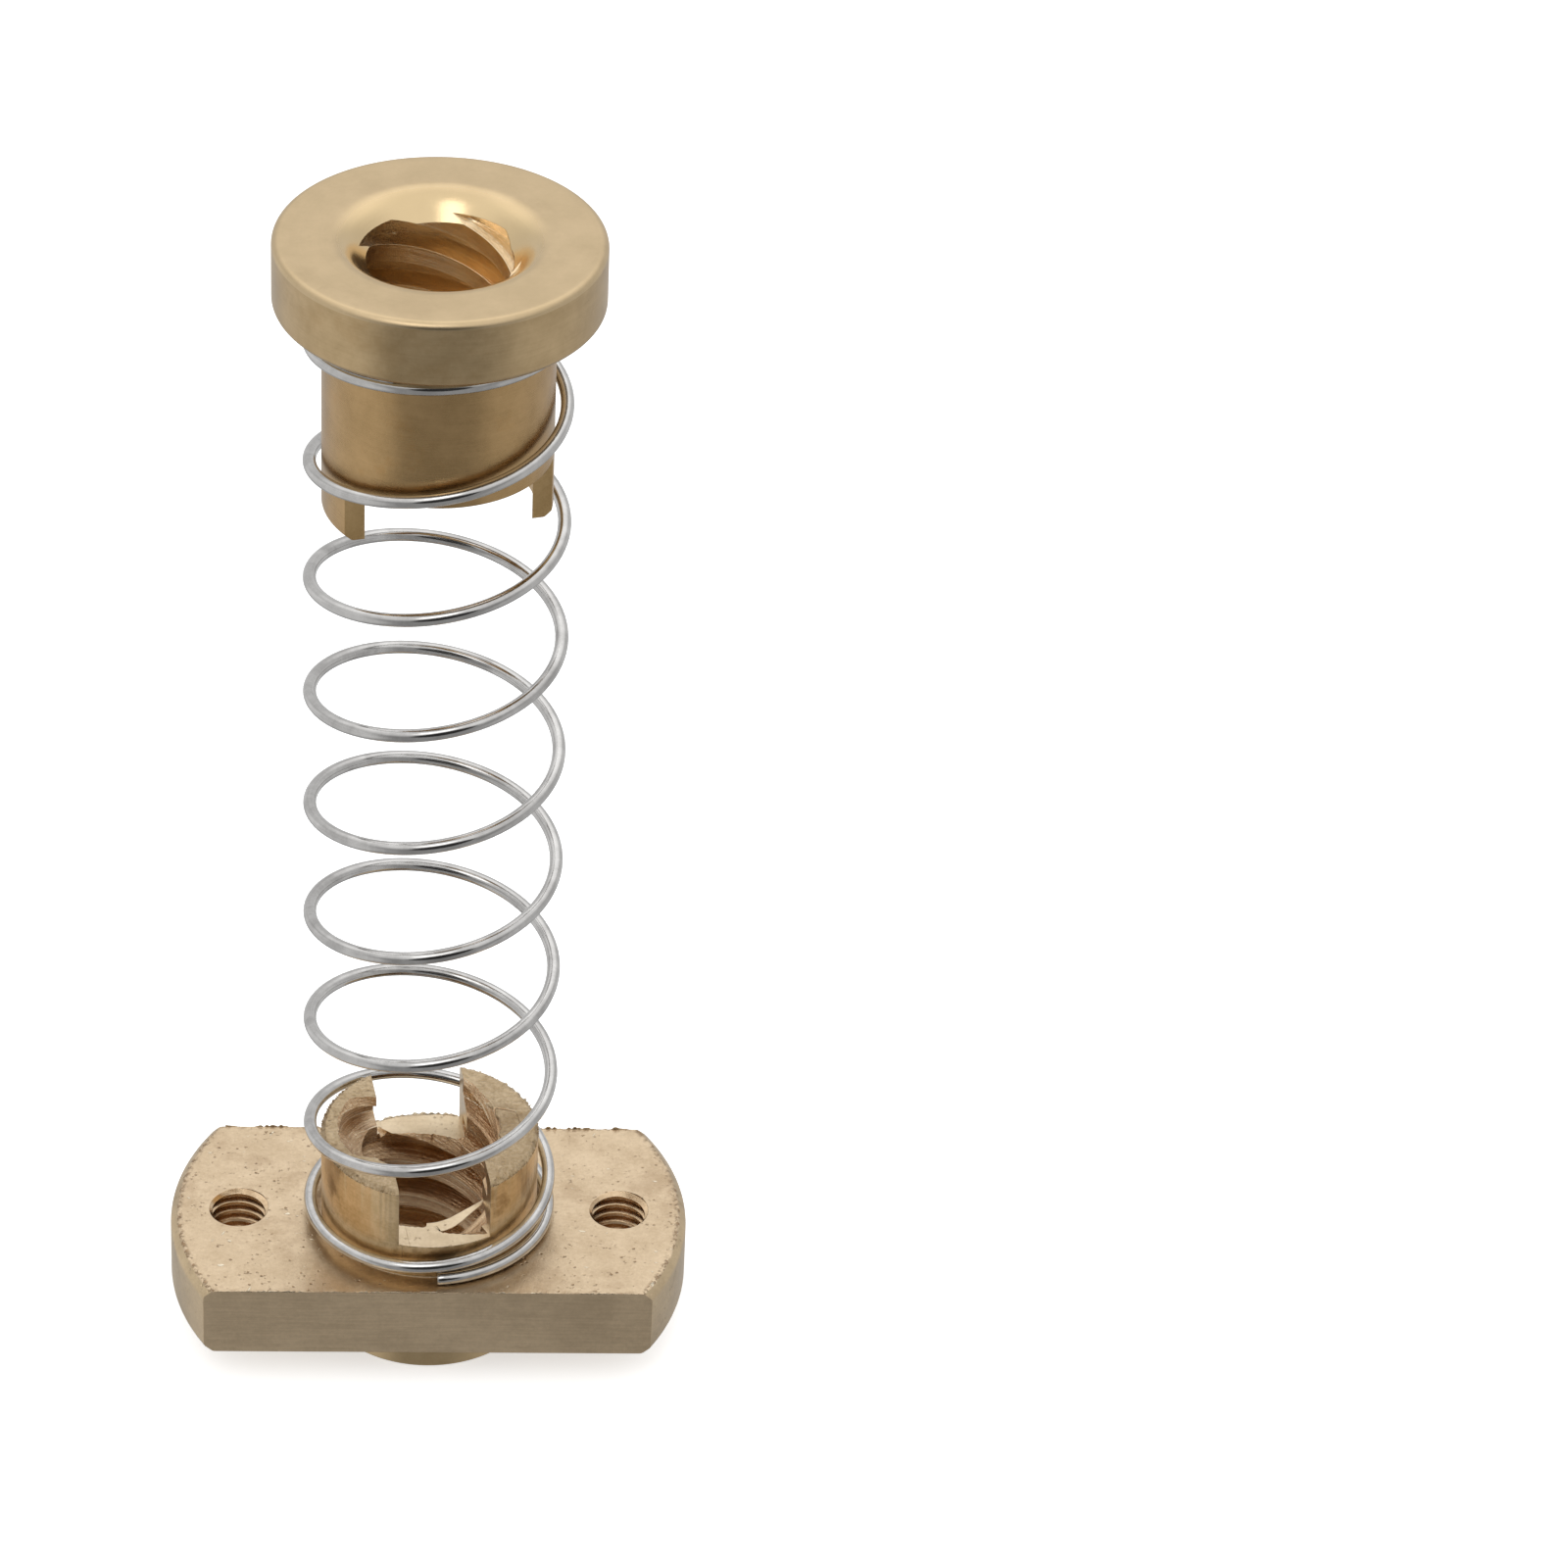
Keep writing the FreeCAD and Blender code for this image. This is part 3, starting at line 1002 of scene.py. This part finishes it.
    def broken_starts(self) -> None:
        """Breaks the edges by the thread at the top of the hub and on the slots' floors."""
        self.break_edge([
            (-106.0, 3.15), (-60.0, 3.32), (-20.0, 3.30), (2.0, 3.28), (15.0, 3.24), (34.7, 3.44),
            (52.3, 3.71), (61.8, 4.02), (69.6, 4.22), (75.0, 4.2), (76.0, 3.15), (135.0, 3.15),
            (141.3, 3.73), (149.6, 4.38), (162.3, 4.38), (176.3, 4.35), (190.0, 4.32), (210.2, 4.15),
            (222.0, 3.45), (250.0, 3.3),
        ], self.hub_top, 1.3)
        self.break_edge([
            (-115.0, 3.75), (-99.0, 3.64), (-87.5, 3.50), (-84.0, 3.55), (-80.7, 4.07), (-70.0, 4.35),
            (-62.4, 4.68), (-56.5, 4.90), (-55.0, 4.90), (-54.0, 3.15), (60.0, 3.15), (62.0, 3.38),
            (69.5, 3.41), (97.8, 3.59), (116.9, 3.97), (120.7, 4.65), (124.0, 4.85), (125.0, 3.15),
            (243.0, 3.15), (244.0, 3.75),
        ], self.slot_floor, 0.8)

    def fold(self) -> None:
        """The burr that the facing tool folded over the end of a groove on one lug's top."""
        turn = np.radians(np.linspace(-34, 36, self.arc_points))
        inner, outer = 3.30 + self.folded_edge.at(turn), 4.45
        top, low = self.hub_top, self.hub_top - 0.22
        corners = ((outer, low), (outer, top - 0.01), (inner + 0.05, top - 0.02), (inner, low + 0.12))
        self.work.add(arc_rings(turn, corners), Finish.LUG_TOP)

    def feather(self) -> None:
        """The feather edge of a thread start, which was left standing when the front slot was cut.

        It leaves the floor, climbs over the groove and meets the side of the slot. At each angle its
        section has four corners: the crest's radius and its own outer radius, each at two heights.
        """
        angle, outer, top = np.array([
            (-92.0, 3.90, -0.07), (-85.0, 3.92, -0.03), (-79.0, 3.92, 0.04), (-73.0, 3.88, 0.13),
            (-66.0, 3.76, 0.27), (-59.0, 3.62, 0.38), (-51.0, 3.50, 0.43), (-43.0, 3.42, 0.42),
            (-34.0, 3.37, 0.42),
        ]).T
        fine = np.linspace(angle[0], angle[-1], self.arc_points)
        outer, top = np.interp(fine, angle, outer), np.interp(fine, angle, top) + self.slot_floor
        inner = self.thread.crest_radius + 0.02
        corners = ((inner, top - 0.14), (outer - 0.04, top - 0.10), (outer, top - 0.03), (inner, top))
        self.work.add(arc_rings(np.radians(fine), corners), Finish.SLOT)

    def build(self) -> bpy.types.Object:
        """Turns, mills, slots and taps the nut.

        Returns:
            The finished piece.
        """
        skin = Skin.stacked(self.blank_rings())
        self.work = work = Workpiece(skin.solid(self.name, *self.blank_zones(skin)))
        self.lips()
        low, high = self.boss_bottom - self.margin, self.hub_top + self.margin
        far = self.flange_radius + self.margin
        below, above = self.flange_margins
        for near, end in ((self.flange_half_width, far), (-far, -self.flange_half_width)):
            outline = strip(near, end, far, 0.0, self.flat_pieces)
            work.cut(prism_rings(outline, -below, self.flange_top + above), Finish.MILLED)
        half, floor = self.slot_half_width, self.slot_floor
        reach, angle = self.hub_radius + self.margin, self.slot_angle + 180.0
        for near, bottom in ((-half, floor), (self.slot_step_width - half, floor - self.slot_step)):
            outline = strip(near, half, reach, angle, self.slot_pieces)
            work.cut(prism_rings(outline, bottom, high), Finish.SLOT)
        self.edge_burrs()
        self.slot_burrs()
        work.cut(self.thread.rings(low, high), Finish.THREAD)
        mouths = ((self.hub_mouth_radius, self.hub_top, 1), (self.boss_mouth_radius, self.boss_bottom, -1))
        for radius, height, way in mouths:
            work.cut(mouth_rings(radius, self.thread.crest_radius, height, way), Finish.LUG_TOP)
        self.broken_starts()
        self.fold()
        self.feather()
        tap = SCREW_THREAD.rings(-self.screw_margin, self.flange_top + self.screw_margin)
        for x in (-self.screw_offset, self.screw_offset):
            shift = np.array([x, 0.0, 0.0])
            work.cut(tap + shift, Finish.TAP)
            for height, way in ((self.flange_top, 1), (0.0, -1)):
                mouth = mouth_rings(self.screw_mouth_radius, SCREW_THREAD.crest_radius, height, way)
                work.cut(mouth + shift, Finish.TAP)
        return work.finished()


def mouth_rings(wide: float, narrow: float, height: float, way: int, lip: float = 0.0) -> Array:
    """A 45 degree countersink's cutter, which stands a little beyond both ends of its cone.

    The rounded lip is the curve (1-t)^3 a + 3 t (1-t)^2 c + 1.5 t^2 (1-t) (c + b) + t^3 b from a point
    a on the cone past the corner c to a point b on the face.

    Args:
        wide: Radius at the face.
        narrow: Radius where the cone ends.
        height: The face's height.
        way: 1 where the bore opens upwards, -1 downwards.
        lip: Distance of a and b from the corner, across; no lip without it.

    Returns:
        The rings' points.
    """
    depth, beyond, above, draft = wide - narrow, 0.3, 0.5, 0.002
    cone = [(narrow - beyond, height - way * (depth + beyond)), (wide, height)]
    if lip > 0:
        t = np.linspace(0, 1, 13)[:, None]
        a, b = np.array([wide - lip, height - way * lip]), np.array([wide + lip, height])
        corner = np.array([wide, height])
        curve = (1 - t) ** 3 * a + 3 * t * (1 - t) ** 2 * corner
        curve = curve + 1.5 * t**2 * (1 - t) * (corner + b) + t**3 * b
        cone = [cone[0], *map(tuple, curve)]
    cone.append((cone[-1][0] + draft, height + way * above))
    outline = np.array(cone if way > 0 else cone[::-1])
    return turned_rings(outline, ROUND_POINTS)


@dataclass
class FollowerNut:
    """The follower nut: a turned flange and barrel with two tabs, countersunk and threaded."""

    name: str = "follower_nut_brass"
    flange_radius: float = 7.25
    seat: float = 53.54
    top: float = 56.74
    top_chamfer: float = 0.2
    under_chamfer: float = 0.25
    mouth_radius: float = 4.4
    barrel_radius: float = 5.1
    barrel_bottom: float = 46.24
    tab_bottom: float = 43.24
    tab_half_width: float = 2.075
    tab_angle: float = 14.0
    tab_chamfer: float = 0.3
    relief_radius: float = 4.3
    relief_top: float = 46.84
    mouth_inset: float = 0.1
    mouth_lip: float = 0.60
    segments: int = 256
    margin: float = 1.0
    thread: Thread = replace(LEAD_THREAD, first_start=61.5, fade_start=54.4, fade_length=1.6,
                             faded_radius=3.5)

    def blank(self) -> tuple[Skin, list[Finish], Array]:
        """The turned blank.

        Returns:
            Its skin, its finishes, and for each face the number of its own.
        """
        rim, barrel = self.flange_radius, self.barrel_radius
        skin = Skin.stacked(turned_rings(rounded([
            (barrel - self.tab_chamfer - 0.2, self.tab_bottom, 0.0),
            (barrel - self.tab_chamfer, self.tab_bottom, 0.08),
            (barrel, self.tab_bottom + self.tab_chamfer, 0.08),
            (barrel, self.seat, 0.05),
            (rim - self.under_chamfer, self.seat, 0.08),
            (rim, self.seat + self.under_chamfer, 0.12),
            (rim, self.top - self.top_chamfer, 0.14),
            (rim - self.top_chamfer, self.top, 0.14),
            (rim - self.top_chamfer - 0.4, self.top, 0.0),
        ], 8), self.segments))
        centre = skin.centres()
        side = centre[:, 2] < self.top - self.top_chamfer - 0.1
        on_barrel = np.hypot(centre[:, 0], centre[:, 1]) < barrel + 0.05
        # The barrel under the flange takes a darker copy of the side finish: painted shade.
        zones = np.select([side & on_barrel, side], [2, 1], 0)
        return skin, [Finish.TURNED, Finish.SIDE, Finish.SHADED_BARREL], zones

    def build(self) -> bpy.types.Object:
        """Turns the blank, mills the tabs free and cuts the bore.

        Returns:
            The finished piece.
        """
        skin, finishes, zones = self.blank()
        work = Workpiece(skin.solid(self.name, finishes, zones))
        far = self.barrel_radius + self.margin
        low = self.tab_bottom - self.margin
        for near, end in ((self.tab_half_width, far), (-far, -self.tab_half_width)):
            outline = strip(near, end, far, self.tab_angle)
            work.cut(prism_rings(outline, low, self.barrel_bottom), Finish.TAB)
        cone = self.relief_radius - self.thread.crest_radius + 0.3
        relief = np.array([
            (self.relief_radius, low),
            (self.relief_radius, self.relief_top),
            (self.relief_radius - cone, self.relief_top + cone),
        ])
        work.cut(self.thread.rings(low, self.top + self.margin), Finish.GOLD_THREAD)
        work.cut(turned_rings(relief, ROUND_POINTS), Finish.TAB)
        wide = self.mouth_radius - self.mouth_inset
        work.cut(mouth_rings(wide, self.thread.crest_radius, self.top, 1, self.mouth_lip), Finish.TURNED)
        return work.finished()


@dataclass
class Spring:
    """The compression spring: round wire, with closed turns at both ends."""

    name: str = "spring_wire"
    wire_radius: float = 0.3
    coil_radius: float = 5.62
    seat: float = 3.62
    free_length: float = 49.9
    active_turns: float = 7.87
    closed_turns: float = 1.03
    closed_pitch: float = 0.63
    ease_turns: float = 0.3
    start_angle: float = -85.8
    steps_per_turn: int = 96
    section_points: int = 28
    cut_edge: float = 0.05
    cut_slope: float = 0.6

    def height(self, turn: Array) -> Array:
        """Height of the wire's centre above the seat.

        The slope is the closed pitch in the end turns and the full pitch between them; the change is
        the integral of a slope that grows evenly over the ease.

        Args:
            turn: Turns from the wire's lower end.

        Returns:
            The heights.
        """
        total = self.active_turns + 2 * self.closed_turns
        rise = self.free_length - 2 * self.wire_radius - 2 * self.closed_turns * self.closed_pitch
        pitch = rise / self.active_turns
        half = self.ease_turns / 2

        def ramp(distance: Array) -> Array:
            """Integral of a slope that grows from 0 to 1 about distance 0."""
            eased = (np.clip(distance, -half, half) + half) ** 2 / (4 * half)
            return np.where(distance > half, distance, eased)

        extra = ramp(turn - self.closed_turns) - ramp(turn - total + self.closed_turns)
        return self.wire_radius + self.closed_pitch * turn + (pitch - self.closed_pitch) * extra

    def rings(self) -> Array:
        """The wire: a circle carried along the coil's centre line.

        Ring i is c + r (cos f e + sin f (t x e)), with the centre line's point c and direction t and
        the direction e away from the axis. The last rings at both ends are smaller: a cut edge.

        Returns:
            The rings' points.
        """
        total = self.active_turns + 2 * self.closed_turns
        turn = np.linspace(0, total, round(total * self.steps_per_turn) + 1)
        trim = self.cut_edge / (TURN * self.coil_radius)
        turn = np.concatenate([[0.0], turn[:1] + trim, turn[1:-1], turn[-1:] - trim, [total]])
        angle = math.radians(self.start_angle) + TURN * turn
        out = np.column_stack([np.cos(angle), np.sin(angle), 0 * angle])
        centre = out * self.coil_radius
        centre[:, 2] = self.seat + self.height(turn)
        along = np.gradient(centre, turn, axis=0)
        along /= np.linalg.norm(along, axis=1, keepdims=True)
        aside = np.cross(along, out)
        radius = np.full(len(turn), self.wire_radius)
        radius[[0, -1]] -= self.cut_edge * self.cut_slope
        around = np.linspace(0, TURN, self.section_points, endpoint=False)[None, :, None]
        spoke = np.cos(around) * out[:, None] + np.sin(around) * aside[:, None]
        return centre[:, None] + radius[:, None, None] * spoke

    def build(self) -> bpy.types.Object:
        """Coils the wire.

        Returns:
            The finished piece.
        """
        return Workpiece(Skin.stacked(self.rings()).solid(self.name, [Finish.STEEL])).finished()


@dataclass(frozen=True)
class Glow:
    """A soft patch of the studio in one direction: brighter than the room, or darker with a minus."""

    toward: Colour
    start: float
    full: float
    strength: float


@dataclass
class Studio:
    """Camera, floor and soft light."""

    azimuth: float = -0.121
    elevation: float = 35.339
    roll: float = 0.657
    distance: float = 300.0
    target: Colour = (0.0, 0.0, 25.6)
    target_right_px: float = -357.69
    target_up_px: float = -47.79
    focal_px: float = 6714.76
    image_px: float = 1600.0
    sensor_mm: float = 36.0
    floor_height: float = -1.85
    floor_half_size: float = 4000.0
    floor_depth: float = 5.0
    base_glow: float = 0.35
    least_glow: float = 0.04
    glows: list[Glow] = field(default_factory=lambda: [
        Glow((0.0, -0.10, 1.00), 0.20, 0.80, 0.62),
        Glow((0.0, 0.95, 0.30), 0.20, 0.80, 0.35),
        Glow((-0.95, 0.0, -0.30), 0.58, 0.86, 0.38),
        Glow((0.95, 0.0, -0.30), 0.58, 0.90, 0.26),
        Glow((0.0, -0.97, 0.25), 0.88, 0.955, -0.80),
        Glow((-0.20, -0.55, 0.81), 0.955, 0.992, 1.40),
    ])

    def camera(self) -> None:
        """Places the camera as the photograph was taken: turned to aim, then by the target's offset."""
        az, el, roll = (math.radians(a) for a in (self.azimuth, self.elevation, self.roll))
        back = Vector((math.sin(az) * math.cos(el), -math.cos(az) * math.cos(el), math.sin(el)))
        right = Vector((math.cos(az), math.sin(az), 0.0))
        up = back.cross(right)
        turn = Matrix.Rotation(roll, 3, back)
        right, up = turn @ right, turn @ up
        location = (Vector(self.target) + back * self.distance) * MM
        aside = math.atan2(self.target_right_px, self.focal_px)
        upward = math.atan2(self.target_up_px, math.hypot(self.focal_px, self.target_right_px))
        turn = Matrix.Rotation(aside, 3, up)
        right, back = turn @ right, turn @ back
        turn = Matrix.Rotation(-upward, 3, right)
        up, back = turn @ up, turn @ back
        data = bpy.data.cameras.new("camera")
        data.sensor_width = self.sensor_mm
        data.lens = self.focal_px / self.image_px * self.sensor_mm
        data.clip_start, data.clip_end = 0.01, 20.0
        camera = bpy.data.objects.new("camera", data)
        bpy.context.scene.collection.objects.link(camera)
        turned = Matrix((right, up, back)).transposed().to_4x4()
        camera.matrix_world = Matrix.Translation(location) @ turned
        bpy.context.scene.camera = camera

    def floor(self) -> None:
        """Lays a plain pale floor under the boss. Reflections in the metal show the studio instead."""
        half = self.floor_half_size
        corners = np.array([(-half, -half), (half, -half), (half, half), (-half, half)])
        skin = Skin.stacked(prism_rings(corners, self.floor_height - self.floor_depth, self.floor_height))
        mesh = bpy.data.meshes.new("floor")
        mesh.from_pydata((skin.points * MM).tolist(), [], skin.quads.tolist() + skin.triangles.tolist())
        floor = bpy.data.objects.new("floor", mesh)
        bpy.context.scene.collection.objects.link(floor)
        material = bpy.data.materials.new("floor_white")
        material.use_nodes = True
        Graph(material.node_tree).surface({
            "Base Color": (0.90, 0.90, 0.90, 1.0), "Roughness": 0.9, "Specular IOR Level": 0.1,
            "Emission Color": (1.0, 1.0, 1.0, 1.0), "Emission Strength": 0.55,
        })
        mesh.materials.append(material)
        floor.visible_glossy = False

    def light(self) -> None:
        """Surrounds the object with soft light: a dim room with broad bright patches.

        Each patch adds its strength by a smooth step of the cosine between its direction and the ray.
        """
        world = bpy.data.worlds.new("studio")
        world.use_nodes = True
        bpy.context.scene.world = world
        graph = Graph(world.node_tree)
        ray = graph.node("ShaderNodeTexCoord", output="Generated")
        total: Channel | float = self.base_glow
        for glow in self.glows:
            toward = tuple(Vector(glow.toward).normalized())
            operation = {"operation": "DOT_PRODUCT"}
            facing = graph.node("ShaderNodeVectorMath", operation, {0: ray, 1: toward}, "Value")
            total = total + facing.rise(glow.start, glow.full) * glow.strength
        total = graph.node("ShaderNodeMath", {"operation": "MAXIMUM"}, {0: total, 1: self.least_glow})
        seen = graph.node("ShaderNodeLightPath", output="Is Camera Ray")
        strength = total * (1.0 - seen) + seen
        background = graph.node("ShaderNodeBackground", None, {"Color": (1, 1, 1, 1), "Strength": strength})
        graph.node("ShaderNodeOutputWorld", None, {"Surface": background})

    def build(self) -> None:
        """Sets up the whole studio."""
        self.camera()
        self.floor()
        self.light()
        bpy.context.scene.view_settings.view_transform = "Standard"


def report(piece: bpy.types.Object) -> None:
    """Logs a piece's name and size.

    Args:
        piece: The finished piece.
    """
    faces = sum(len(p.vertices) - 2 for p in piece.data.polygons)
    low, high = np.array(piece.bound_box).min(0) / MM, np.array(piece.bound_box).max(0) / MM
    LOG.info("%s: %d triangles, from %s to %s mm", piece.name, faces, low.round(2), high.round(2))


def main() -> None:
    """Builds the three pieces and the studio."""
    logging.basicConfig(level=logging.INFO, format="%(name)s %(message)s")
    Studio().build()
    nut = MainNut().build()
    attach(nut, "main_nut")
    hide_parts("main_nut")
    report(nut)
    follower = FollowerNut().build()
    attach(follower, "follower_nut")
    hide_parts("follower_nut")
    report(follower)
    spring = Spring().build()
    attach(spring, "spring")
    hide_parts("spring")
    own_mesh(spring)
    report(spring)


if __name__ == "__main__":
    main()
